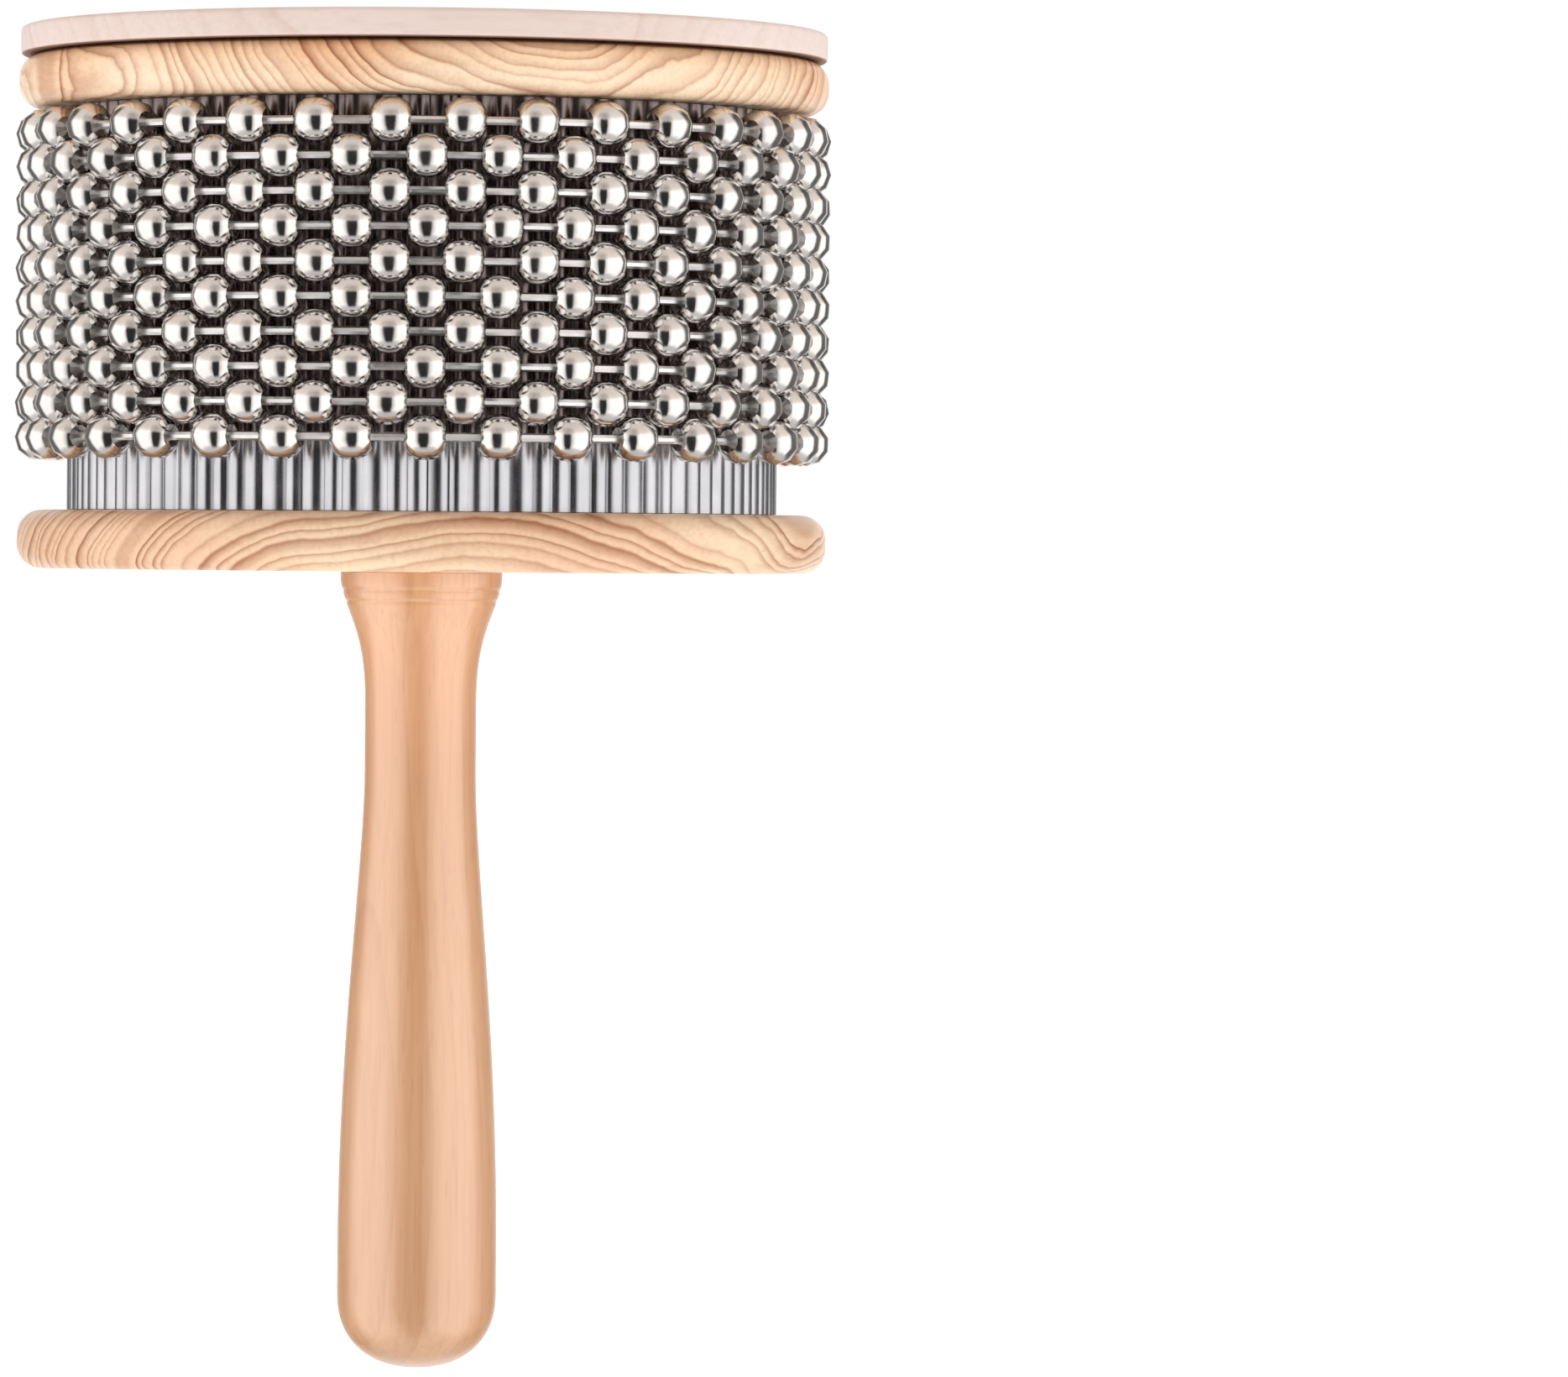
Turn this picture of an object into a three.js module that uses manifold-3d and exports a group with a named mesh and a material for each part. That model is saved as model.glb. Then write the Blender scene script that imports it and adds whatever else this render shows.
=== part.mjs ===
// A cabasa: a hand percussion instrument. Ten loops of steel ball chain lie round a drum that is wrapped
// in a ribbed steel sheet, between two round wooden flanges, on a turned wooden handle. The player holds
// the chain in one palm and twists the handle, so that the beads scrape over the ribs.
// Millimetres, +Z up along the instrument's axis, origin at the middle of the handle's grip.
// The sheet's seam is at the back, on +Y.
import * as THREE from "three";
import { mergeVertices } from "three/addons/utils/BufferGeometryUtils.js";
import Module from "manifold-3d";

const wasm = await Module();
wasm.setup();

// ---- Driving dimensions ----
const handle = {
  length: 120.6,
  tipHeight: 11.2, // height of the rounded end
  tipFullness: 2.25, // 2 makes that end a half ellipse, more makes it blunter
  gripRadius: 12.05,
  gripLength: 7.2, // the straight stretch above the rounded end
  waistRadius: 8.43,
  waistDepth: 20, // from the shoulder down to the waist
  waistLength: 10, // the straight stretch at the waist
  collarRadius: 12.25,
  collarHeight: 1.6,
};
const chain = {
  loops: 10,
  beadDiameter: 6.8,
  beadLength: 6, // along the chain, between the bead's two mouths
  shoulderLength: 3.1, // along the chain, the stretch at full diameter
  linkDiameter: 1.3,
  linkShows: 4.76, // the length of link seen between two beads
  nestGap: 0.6, // between a bead and its nearest neighbours in the next loop
  linkGap: 0.6, // least gap between a bead and the next loop's links
  sides: 5,
  frontPhase: -2.45, // degrees from the front, -Y, to the first loop's nearest bead
};
const drum = {
  radius: 53.6, // over the ribs
  ribDepth: 0.6,
  ribPitch: 3.12,
  sheet: 0.4, // thickness of the steel sheet
  lapRibs: 2, // ribs that the seam overlaps by
  lapGap: 0.1, // between the two layers of the seam
  coreGap: 0.3, // between the sheet and the wooden core
  endGap: 0.1, // between the sheet's edge and a flange
  topFree: 0.55, // free height over the first loop
  bottomFree: 7.4, // free height under the last loop
};
const nail = {
  count: 3,
  headRadius: 1.5,
  headHeight: 0.4,
  standoff: 0.1, // under the head
  shankRadius: 0.6,
  length: 9,
  edge: 3.2, // from the sheet's edge to the end nails
  clearance: 0.2,
};
const runningGap = 0.2; // between the beads and the nail heads
const flange = {
  inset: 0.55, // how far the flanges stay inside the circle over the beads
  lowerThickness: 8.8,
  upperThickness: 8,
  lowerRound: 3.7, // radius of the rounded edges
  upperRound: 3.4,
};
const cover = {
  inset: 0.2, // inside the flange's rim
  thickness: 4.2,
  topRound: 0.8,
  bottomRound: 0.5,
};
const bolt = {
  radius: 3,
  headRadius: 5.25,
  headHeight: 3.3,
  socketRadius: 2.3, // corner radius of the hexagon socket
  socketDepth: 2,
  holeClearance: 0.4, // in the wooden parts
  threadClearance: 0.1, // in the insert
  tipGap: 1, // under the bolt's end, in the insert's hole
};
const washer = { radius: 9, thickness: 1.5, holeClearance: 0.3, pocketClearance: 0.5 };
const headroom = 0.4; // between the bolt's head and the cover
const insert = {
  radius: 5,
  length: 18,
  rimRadius: 6.5,
  rimHeight: 1.2,
  fit: 0.1, // radial gap to the handle's hole
  drill: 2, // depth of the handle's hole past the insert
};
const dowel = {
  radius: 3,
  coreDepth: 14,
  skin: 3, // wood left outside the dowel's hole in a flange
  inset: 16, // from the core's rim to the dowel's axis
  fit: 0.1,
  endGap: 0.4,
};
const turning = 24; // facets round the small turned pieces
const rimTurning = 44; // facets round the head's discs
const holeTurning = 12; // facets round the drilled holes and their pegs
const edgeSteps = 3; // facets across a quarter round
const tipSteps = 5; // facets from the handle's tip to its side

// ---- Sizes that follow ----
const shoulderZ = handle.length / 2; // where the handle meets the lower flange
const beadRadius = chain.beadDiameter / 2;
const linkRadius = chain.linkDiameter / 2;
const seamStep = drum.sheet + drum.lapGap; // how far the seam's outer layer stands out
const loopRadius =
  drum.radius + seamStep + nail.standoff + nail.headHeight + runningGap + beadRadius;
const beadsPerLoop = Math.round((2 * Math.PI * loopRadius) / (chain.beadLength + chain.linkShows));
const pitchAngle = (2 * Math.PI) / beadsPerLoop;
const halfPitch = (Math.PI * loopRadius) / beadsPerLoop;
const nested = Math.sqrt(Math.max(0, (chain.beadDiameter + chain.nestGap) ** 2 - halfPitch ** 2));
const rowPitch = Math.max(nested, beadRadius + linkRadius + chain.linkGap);
const drumHeight =
  drum.topFree + drum.bottomFree + chain.beadDiameter + (chain.loops - 1) * rowPitch;
const ribs = Math.round((2 * Math.PI * drum.radius) / drum.ribPitch);
const coreRadius = drum.radius - drum.ribDepth - drum.sheet - drum.coreGap;
const drumBottomZ = shoulderZ + flange.lowerThickness;
const drumTopZ = drumBottomZ + drumHeight;
const coverBottomZ = drumTopZ + flange.upperThickness;
const flangeRadius = loopRadius + beadRadius - flange.inset;
const coverRadius = flangeRadius - cover.inset;
const boltHole = bolt.radius + bolt.holeClearance;
const washerZ = coverBottomZ - headroom - bolt.headHeight - washer.thickness; // the washer's underside
const dowelCircle = coreRadius - dowel.inset;

// ---- Helpers ----

// Revolves a closed or axis-to-axis outline of [radius, z] points round Z, counter-clockwise from below.
function turned(outline, segments = turning) {
  const points = outline.map(([r, z]) => new THREE.Vector2(r, z));
  return new THREE.LatheGeometry(points, segments).rotateX(Math.PI / 2);
}

// The points of a quarter round from one angle to another, in degrees, about a centre.
function quarter(centreR, centreZ, radius, fromDegrees, toDegrees) {
  const curve = new THREE.EllipseCurve(
    centreR,
    centreZ,
    radius,
    radius,
    THREE.MathUtils.degToRad(fromDegrees),
    THREE.MathUtils.degToRad(toDegrees),
  );
  return curve.getPoints(edgeSteps).map((p) => [p.x, p.y]);
}

function toSolid(geometry) {
  const bare = geometry.clone();
  bare.deleteAttribute("normal");
  bare.deleteAttribute("uv");
  const merged = mergeVertices(bare, 1e-4);
  return new wasm.Manifold(
    new wasm.Mesh({
      numProp: 3,
      vertProperties: merged.attributes.position.array,
      triVerts: new Uint32Array(merged.index.array),
    }),
  );
}

function toGeometry(solid) {
  const { vertProperties, triVerts } = solid.getMesh();
  const geometry = new THREE.BufferGeometry();
  geometry.setAttribute("position", new THREE.BufferAttribute(vertProperties, 3));
  geometry.setIndex(new THREE.BufferAttribute(triVerts, 1));
  geometry.computeVertexNormals();
  return geometry;
}

// A geometry with each of the tools cut out of it.
function cut(geometry, tools) {
  return toGeometry(tools.reduce((left, tool) => left.subtract(toSolid(tool)), toSolid(geometry)));
}

// A round peg along Z, standing on bottomZ.
function peg(radius, height, x, y, bottomZ, segments = holeTurning) {
  return new THREE.CylinderGeometry(radius, radius, height, segments)
    .rotateX(Math.PI / 2)
    .translate(x, y, bottomZ + height / 2);
}

const onCircle = (radius, degrees) => [
  radius * Math.cos(THREE.MathUtils.degToRad(degrees)),
  radius * Math.sin(THREE.MathUtils.degToRad(degrees)),
];

// ---- Materials ----
const finish = (color, roughness, metalness) =>
  new THREE.MeshStandardMaterial({ color, roughness, metalness });
const beech = finish(0xdba87d, 0.42, 0);
const pine = finish(0xe6bd92, 0.5, 0);
const palePly = finish(0xe6d2c8, 0.6, 0);
const coreWood = finish(0xd0aa7c, 0.7, 0);
const ribbedSteel = finish(0xb4b6bb, 0.25, 1);
const beadSteel = finish(0xc4c0bb, 0.12, 1);
const zincSteel = finish(0xa9abad, 0.35, 1);
const brass = finish(0xb7954d, 0.35, 1);

const instrument = new THREE.Group();

function add(name, geometry, material, parent = instrument) {
  const mesh = new THREE.Mesh(geometry, material);
  mesh.name = name;
  parent.add(mesh);
  return mesh;
}

// ---- Handle: a turned grip that swells towards a rounded end, with a waist and a flared collar ----
function handleGeometry() {
  const roundTop = -shoulderZ + handle.tipHeight;
  const gripTop = roundTop + handle.gripLength;
  const waistTop = shoulderZ - handle.waistDepth;
  const waistFoot = waistTop - handle.waistLength;
  const collarFoot = shoulderZ - handle.collarHeight;
  const swell = waistFoot - gripTop;
  const flare = collarFoot - waistTop;
  // the rounded end, by (r / radius)^n + (depth / height)^n = 1
  const tip = Array.from({ length: tipSteps }, (_, i) => {
    const angle = (i / tipSteps) * (Math.PI / 2);
    const power = 2 / handle.tipFullness;
    return [
      handle.gripRadius * Math.sin(angle) ** power,
      roundTop - handle.tipHeight * Math.cos(angle) ** power,
    ];
  });
  const side = new THREE.Path();
  side.moveTo(handle.gripRadius, roundTop);
  side.lineTo(handle.gripRadius, gripTop);
  side.bezierCurveTo(
    handle.gripRadius,
    gripTop + 0.45 * swell,
    handle.waistRadius,
    waistFoot - 0.2 * swell,
    handle.waistRadius,
    waistFoot,
  );
  side.lineTo(handle.waistRadius, waistTop);
  side.bezierCurveTo(
    handle.waistRadius,
    waistTop + 0.6 * flare,
    handle.collarRadius - 1,
    collarFoot - 0.3 * flare,
    handle.collarRadius,
    collarFoot,
  );
  const holeRadius = insert.radius + insert.fit;
  const rimRadius = insert.rimRadius + insert.fit;
  const rimZ = shoulderZ - insert.rimHeight - insert.fit;
  const holeZ = shoulderZ - insert.length - insert.drill;
  return turned(
    [
      ...tip,
      ...side.getPoints(6).map((p) => [p.x, p.y]),
      [handle.collarRadius, shoulderZ],
      [rimRadius, shoulderZ],
      [rimRadius, rimZ],
      [holeRadius, rimZ],
      [holeRadius, holeZ],
      [0, holeZ],
    ],
  );
}
add("handle", handleGeometry(), beech);

// ---- Threaded insert in the handle's top, and the bolt that clamps the head to it ----
function insertGeometry() {
  const bore = bolt.radius + bolt.threadClearance;
  const bottom = shoulderZ - insert.length;
  const rimZ = shoulderZ - insert.rimHeight;
  return turned([
    [bore, bottom],
    [insert.radius, bottom],
    [insert.radius, rimZ],
    [insert.rimRadius, rimZ],
    [insert.rimRadius, shoulderZ],
    [bore, shoulderZ],
    [bore, bottom],
  ]);
}
add("handle_insert", insertGeometry(), brass);

function boltGeometry() {
  const endZ = shoulderZ - insert.length + bolt.tipGap;
  const seatZ = washerZ + washer.thickness;
  const topZ = seatZ + bolt.headHeight;
  const edge = bolt.headHeight * 0.45; // the button head's side, under its dome
  const body = turned([
    [0, endZ],
    [bolt.radius, endZ],
    [bolt.radius, seatZ],
    [bolt.headRadius, seatZ],
    [bolt.headRadius, seatZ + edge],
    [bolt.headRadius * 0.72, topZ],
    [0, topZ],
  ]);
  const past = 1; // the cutter reaches this far over the head
  const height = bolt.socketDepth + past;
  return cut(body, [peg(bolt.socketRadius, height, 0, 0, topZ - bolt.socketDepth, 6)]);
}
add("tie_bolt", boltGeometry(), zincSteel);

const washerHole = bolt.radius + washer.holeClearance;
add(
  "tie_washer",
  turned([
    [washerHole, washerZ],
    [washer.radius, washerZ],
    [washer.radius, washerZ + washer.thickness],
    [washerHole, washerZ + washer.thickness],
    [washerHole, washerZ],
  ]),
  zincSteel,
);

// ---- Dowels: two across each joint between the core and a flange ----
const dowelsAt = { upper: [0, 180], lower: [45, 225] };

// Where an upper or lower dowel lies: the foot and the height of its hole, and of the dowel itself.
function dowelSpan(end) {
  const thickness = end === "upper" ? flange.upperThickness : flange.lowerThickness;
  const inFlange = thickness - dowel.skin;
  const holeFoot = end === "upper" ? drumTopZ - dowel.coreDepth : drumBottomZ - inFlange;
  const holeHeight = dowel.coreDepth + inFlange;
  return {
    holeFoot,
    holeHeight,
    foot: holeFoot + dowel.endGap,
    height: holeHeight - 2 * dowel.endGap,
  };
}

function dowelHoles(end) {
  const { holeFoot, holeHeight } = dowelSpan(end);
  return dowelsAt[end].map((degrees) =>
    peg(dowel.radius + dowel.fit, holeHeight, ...onCircle(dowelCircle, degrees), holeFoot),
  );
}

for (const end of ["lower", "upper"]) {
  const { foot, height } = dowelSpan(end);
  dowelsAt[end].forEach((degrees, i) => {
    const shape = peg(dowel.radius, height, ...onCircle(dowelCircle, degrees), foot);
    add(`${end}_dowel_${i + 1}`, shape, coreWood);
  });
}

// ---- Seam nails: round-headed pins through both layers of the seam into the core ----
const nailHeadY = drum.radius + seamStep + nail.standoff; // underside of the heads
const nailHeights = Array.from({ length: nail.count }, (_, i) =>
  THREE.MathUtils.lerp(drumBottomZ + nail.edge, drumTopZ - nail.edge, i / (nail.count - 1)),
);

function nailGeometry() {
  const point = nail.shankRadius * 2; // length of the tapered point
  const tipY = nailHeadY - nail.length;
  const points = [
    [0, tipY],
    [nail.shankRadius, tipY + point],
    [nail.shankRadius, nailHeadY],
    [nail.headRadius, nailHeadY],
    [nail.headRadius * 0.8, nailHeadY + nail.headHeight * 0.7],
    [0, nailHeadY + nail.headHeight],
  ];
  return new THREE.LatheGeometry(
    points.map(([r, y]) => new THREE.Vector2(r, y)),
    12,
  );
}

// A cutter for one nail's hole, along Y from inside the core to past the sheet.
function nailHole(z) {
  const height = nail.length + 2 * nail.clearance + nail.standoff;
  return new THREE.CylinderGeometry(
    nail.shankRadius + nail.clearance,
    nail.shankRadius + nail.clearance,
    height,
    12,
  ).translate(0, nailHeadY - nail.length - nail.clearance + height / 2, z);
}

nailHeights.forEach((z, i) => {
  add(`seam_nail_${i + 1}`, nailGeometry(), zincSteel).position.z = z;
});

// ---- Core: the wooden drum under the sheet ----
function coreGeometry() {
  const body = turned(
    [
      [boltHole, drumBottomZ],
      [coreRadius, drumBottomZ],
      [coreRadius, drumTopZ],
      [boltHole, drumTopZ],
      [boltHole, drumBottomZ],
    ],
    rimTurning,
  );
  return cut(body, [...dowelHoles("lower"), ...dowelHoles("upper"), ...nailHeights.map(nailHole)]);
}
add("core_drum", coreGeometry(), coreWood);

// ---- Ribbed sheet: one strip wound round the core, its last ribs lying over its first ones ----
function sheetGeometry() {
  const ribAngle = (2 * Math.PI) / ribs;
  const turns = ribs + drum.lapRibs; // ribs along the strip
  const ramp = drum.lapRibs + 2; // ribs over which the strip climbs on to its own start
  const start = Math.PI / 2 - (drum.lapRibs / 2) * ribAngle;
  const outer = [];
  const inner = [];
  for (let half = 0; half <= 2 * turns; half++) {
    const along = half / 2;
    const angle = start + along * ribAngle;
    const lift = seamStep * THREE.MathUtils.clamp((along - (ribs - ramp)) / ramp, 0, 1);
    const fall = half % 2 === 0 ? 0 : drum.ribDepth; // from a crest to the groove beside it
    const radius = drum.radius - fall + lift;
    outer.push(new THREE.Vector2(radius * Math.cos(angle), radius * Math.sin(angle)));
    const inside = radius - drum.sheet;
    inner.push(new THREE.Vector2(inside * Math.cos(angle), inside * Math.sin(angle)));
  }
  const strip = new THREE.Shape([...outer, ...inner.reverse()]);
  const height = drumHeight - 2 * drum.endGap;
  const sheet = new THREE.ExtrudeGeometry(strip, { depth: height, bevelEnabled: false });
  sheet.translate(0, 0, drumBottomZ + drum.endGap);
  return cut(sheet, nailHeights.map(nailHole));
}
add("ribbed_sleeve", sheetGeometry(), ribbedSteel);

// ---- Flanges: two round-edged discs, and the pale cover over the bolt's head ----
function roundedEdge(radius, bottomZ, topZ, bottomRound, topRound) {
  return [
    ...quarter(radius - bottomRound, bottomZ + bottomRound, bottomRound, -90, 0),
    ...quarter(radius - topRound, topZ - topRound, topRound, 0, 90),
  ];
}

function lowerFlangeGeometry() {
  const round = flange.lowerRound;
  const disc = turned(
    [
      [boltHole, shoulderZ],
      ...roundedEdge(flangeRadius, shoulderZ, drumBottomZ, round, round),
      [boltHole, drumBottomZ],
      [boltHole, shoulderZ],
    ],
    rimTurning,
  );
  return cut(disc, dowelHoles("lower"));
}
add("lower_flange", lowerFlangeGeometry(), pine);

function upperFlangeGeometry() {
  const round = flange.upperRound;
  const pocket = washer.radius + washer.pocketClearance;
  const disc = turned(
    [
      [boltHole, drumTopZ],
      ...roundedEdge(flangeRadius, drumTopZ, coverBottomZ, round, round),
      [pocket, coverBottomZ],
      [pocket, washerZ],
      [boltHole, washerZ],
      [boltHole, drumTopZ],
    ],
    rimTurning,
  );
  return cut(disc, dowelHoles("upper"));
}
add("upper_flange", upperFlangeGeometry(), pine);

const coverTopZ = coverBottomZ + cover.thickness;
add(
  "cover_disc",
  turned(
    [
      [0, coverBottomZ],
      ...roundedEdge(coverRadius, coverBottomZ, coverTopZ, cover.bottomRound, cover.topRound),
      [0, coverTopZ],
    ],
    rimTurning,
  ),
  palePly,
);

// ---- Chain loops: beads on short links, each loop turned half a bead from the next ----

// A torus whose tube is pushed out to a bead at each pitch: four stations to a bead, two at its mouths,
// on the link, and two at full diameter.
function loopGeometry() {
  const stations = [
    { along: -chain.beadLength / 2, radius: linkRadius },
    { along: -chain.shoulderLength / 2, radius: beadRadius },
    { along: chain.shoulderLength / 2, radius: beadRadius },
    { along: chain.beadLength / 2, radius: linkRadius },
  ];
  const rings = beadsPerLoop * stations.length;
  const torus = new THREE.TorusGeometry(loopRadius, linkRadius, chain.sides, rings);
  const { position, uv } = torus.attributes;
  for (let i = 0; i < position.count; i++) {
    const ring = Math.round(uv.getX(i) * rings) % rings;
    const bead = Math.floor(ring / stations.length);
    const { along, radius } = stations[ring % stations.length];
    const round = bead * pitchAngle + along / loopRadius;
    const side = uv.getY(i) * 2 * Math.PI;
    const out = loopRadius + radius * Math.cos(side);
    position.setXYZ(i, out * Math.cos(round), out * Math.sin(round), radius * Math.sin(side));
  }
  return torus;
}

const loop = loopGeometry();
const firstLoopZ = drumTopZ - drum.topFree - beadRadius;
for (let row = 0; row < chain.loops; row++) {
  const name = `chain_loop_${String(row + 1).padStart(2, "0")}`;
  const mesh = add(name, loop, beadSteel);
  mesh.position.z = firstLoopZ - row * rowPitch;
  mesh.rotation.z =
    -Math.PI / 2 + THREE.MathUtils.degToRad(chain.frontPhase) + (row % 2) * (pitchAngle / 2);
}

export default instrument;
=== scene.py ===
import math

import bmesh
import bpy
import numpy as np
from mathutils import Euler, Matrix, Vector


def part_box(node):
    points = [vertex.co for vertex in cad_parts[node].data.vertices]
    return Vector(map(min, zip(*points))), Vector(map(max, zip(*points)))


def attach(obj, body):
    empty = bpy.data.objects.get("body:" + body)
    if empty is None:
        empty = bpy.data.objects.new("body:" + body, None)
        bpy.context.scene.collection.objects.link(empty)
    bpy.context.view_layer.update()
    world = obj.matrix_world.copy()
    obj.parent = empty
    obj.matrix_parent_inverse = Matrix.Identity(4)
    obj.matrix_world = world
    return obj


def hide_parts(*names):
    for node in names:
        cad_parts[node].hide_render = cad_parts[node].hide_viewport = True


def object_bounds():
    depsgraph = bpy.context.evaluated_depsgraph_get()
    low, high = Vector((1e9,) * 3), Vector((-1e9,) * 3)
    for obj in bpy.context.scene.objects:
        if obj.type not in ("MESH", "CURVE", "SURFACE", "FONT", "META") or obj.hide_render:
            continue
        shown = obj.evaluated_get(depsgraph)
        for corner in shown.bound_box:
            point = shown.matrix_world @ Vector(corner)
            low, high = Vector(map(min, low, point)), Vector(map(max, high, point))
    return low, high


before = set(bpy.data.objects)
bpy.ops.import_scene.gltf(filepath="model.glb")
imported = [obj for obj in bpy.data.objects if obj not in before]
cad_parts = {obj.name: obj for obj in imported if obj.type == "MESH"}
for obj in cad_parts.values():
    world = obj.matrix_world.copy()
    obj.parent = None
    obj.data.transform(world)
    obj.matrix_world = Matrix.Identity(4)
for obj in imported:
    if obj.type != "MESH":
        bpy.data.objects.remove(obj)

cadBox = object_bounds()
rng = np.random.default_rng(11)
mm = 0.001
loopNames = sorted(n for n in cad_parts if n.startswith("chain_loop_"))
rootBody = "head_and_handle"
lowerLow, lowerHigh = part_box("lower_flange")
upperLow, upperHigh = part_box("upper_flange")
coverLow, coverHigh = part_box("cover_disc")
handleLow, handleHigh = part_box("handle")
print("frame loaded:", len(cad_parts), "nodes")

# mesh helpers


def gridMesh(name, points, wrapU=False, wrapV=False, sharpDegrees=35.0):
    # points[i, j] is the place of row i and column j; each cell of the grid becomes one quad
    rows, cols = points.shape[:2]
    index = np.arange(rows * cols).reshape(rows, cols)
    if wrapU:
        index = np.vstack([index, index[:1]])
    if wrapV:
        index = np.hstack([index, index[:, :1]])
    quads = np.stack([index[:-1, :-1], index[:-1, 1:], index[1:, 1:], index[1:, :-1]], -1)
    return buildMesh(name, points.reshape(-1, 3), quads.reshape(-1, 4), sharpDegrees)


def buildMesh(name, verts, quads, sharpDegrees=35.0):
    # welds doubled points, so that seams and poles close, and shades smooth up to a crease angle
    mesh = bpy.data.meshes.new(name)
    mesh.from_pydata(verts.tolist(), [], quads.tolist())
    work = bmesh.new()
    work.from_mesh(mesh)
    bmesh.ops.remove_doubles(work, verts=work.verts, dist=1e-6)
    bmesh.ops.dissolve_degenerate(work, edges=work.edges, dist=1e-7)
    work.to_mesh(mesh)
    work.free()
    mesh.validate()
    mesh.shade_smooth()
    mesh.set_sharp_from_angle(angle=math.radians(sharpDegrees))
    piece = bpy.data.objects.new(name, mesh)
    bpy.context.scene.collection.objects.link(piece)
    return piece


def finishPiece(piece, material, body, slotName, *nodes):
    # gives a piece its material, the body that it moves with and the solids that it stands for, which it
    # hides; the slot name is not used
    piece.data.materials.clear()
    piece.data.materials.append(material)
    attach(piece, body)
    if nodes:
        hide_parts(*nodes)
    return piece


def lathePoints(profile, columns, start=0.0):
    # (radius, height) carried round Z: x = radius cos t, y = radius sin t, z = height
    turn = start + np.linspace(0, 2 * np.pi, columns, endpoint=False)
    r = profile[:, 0][:, None]
    z = np.repeat(profile[:, 1][:, None], columns, 1)
    return np.stack([r * np.cos(turn), r * np.sin(turn), z], -1)


def roundCorner(centre, radius, fromDegrees, toDegrees, steps):
    # centre + radius (cos a, sin a), a running evenly between the two angles
    a = np.radians(np.linspace(fromDegrees, toDegrees, steps))
    return np.stack([centre[0] + radius * np.cos(a), centre[1] + radius * np.sin(a)], -1)


def bezier(p0, p1, p2, p3, steps):
    # cubic through four points: (1-t)^3 p0 + 3 (1-t)^2 t p1 + 3 (1-t) t^2 p2 + t^3 p3
    t = np.linspace(0, 1, steps)[:, None]
    p0, p1, p2, p3 = (np.array(p, float) for p in (p0, p1, p2, p3))
    return (1 - t) ** 3 * p0 + 3 * (1 - t) ** 2 * t * p1 + 3 * (1 - t) * t**2 * p2 + t**3 * p3


# material helpers


def newMaterial(name):
    material = bpy.data.materials.new(name)
    material.use_nodes = True
    tree = material.node_tree
    return material, tree, tree.nodes["Principled BSDF"]


def node(tree, kind, inputs=(), **settings):
    # adds a shader node; an input that is a socket is linked, and any other is a value
    made = tree.nodes.new("ShaderNode" + kind)
    for key, value in settings.items():
        setattr(made, key, value)
    for key, value in dict(inputs).items():
        if isinstance(value, bpy.types.NodeSocket):
            tree.links.new(value, made.inputs[key])
        else:
            made.inputs[key].default_value = value
    return made


def ramp(tree, fac, stops, smooth=False):
    # a colour for each position, blended in straight lines, or eased if smooth is set
    made = node(tree, "ValToRGB", {"Fac": fac})
    elements = made.color_ramp.elements
    made.color_ramp.interpolation = "EASE" if smooth else "LINEAR"
    while len(elements) < len(stops):
        elements.new(0.5)
    for element, (position, colour) in zip(elements, stops):
        element.position = position
        element.color = (*colour, 1.0) if len(colour) == 3 else colour
    return made.outputs["Color"]


def grey(value):
    return (value, value, value)


def srgb(red, green, blue):
    # display values 0 to 255 turned to linear light
    c = np.array([red, green, blue]) / 255.0
    return tuple(np.where(c <= 0.04045, c / 12.92, ((c + 0.055) / 1.055) ** 2.4).tolist())


def mix(tree, blend, fac, a, b):
    # blends two colours by a factor; each may be a value or a socket
    made = node(tree, "Mix", data_type="RGBA", blend_type=blend)
    for key, value in (("Factor", fac), ("A", a), ("B", b)):
        socket = [s for s in made.inputs if s.name == key and s.enabled][0]
        if isinstance(value, bpy.types.NodeSocket):
            tree.links.new(value, socket)
        else:
            isColour = isinstance(value, tuple) and len(value) == 3
            socket.default_value = (*value, 1.0) if isColour else value
    return [s for s in made.outputs if s.enabled][0]


def math2(tree, operation, a, b=0.0, c=0.0):
    return node(tree, "Math", {0: a, 1: b, 2: c}, operation=operation).outputs[0]


def smoothStep(tree, value, low, high, fromLevel=0.0, toLevel=1.0):
    # eases from one level to the other, 3 t^2 - 2 t^3, while the value goes from low to high
    return node(
        tree,
        "MapRange",
        {"Value": value, "From Min": low, "From Max": high, "To Min": fromLevel, "To Max": toLevel},
        interpolation_type="SMOOTHSTEP",
    ).outputs[0]


# woods

# between which levels of its noise each feature of a wood or a metal comes in
woodEdges = {
    "patches": (0.36, 0.64),
    "fibres": (0.34, 0.56),
    "flecks": (0.12, 0.24),
    "rough": (0.3, 0.7),
}
metalEdges = {"patches": (0.3, 0.7), "smudges": (0.5, 1.0)}
smudgeShare = 0.5  # how much of the slow patches is added to the scratches
wanderPace = 0.37  # noise units for each ring, so the spacing drifts over about three rings
bumpReach = {"wood": 0.2 * mm, "metal": 0.05 * mm}
plainLacquerIor = 1.5
woodIor = 1.48


def between(edges, first, last):
    # two stops of a ramp, one at each edge
    return [(edges[0], first), (edges[1], last)]


def stretchedNoise(tree, place, scale, detail=2.0, roughness=0.5):
    # noise drawn out along the axes that have the smaller scale
    drawn = node(tree, "Mapping", {"Vector": place, "Scale": scale}).outputs[0]
    settings = {"Vector": drawn, "Scale": 1.0, "Detail": detail, "Roughness": roughness}
    return node(tree, "TexNoise", settings).outputs["Fac"]


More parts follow.
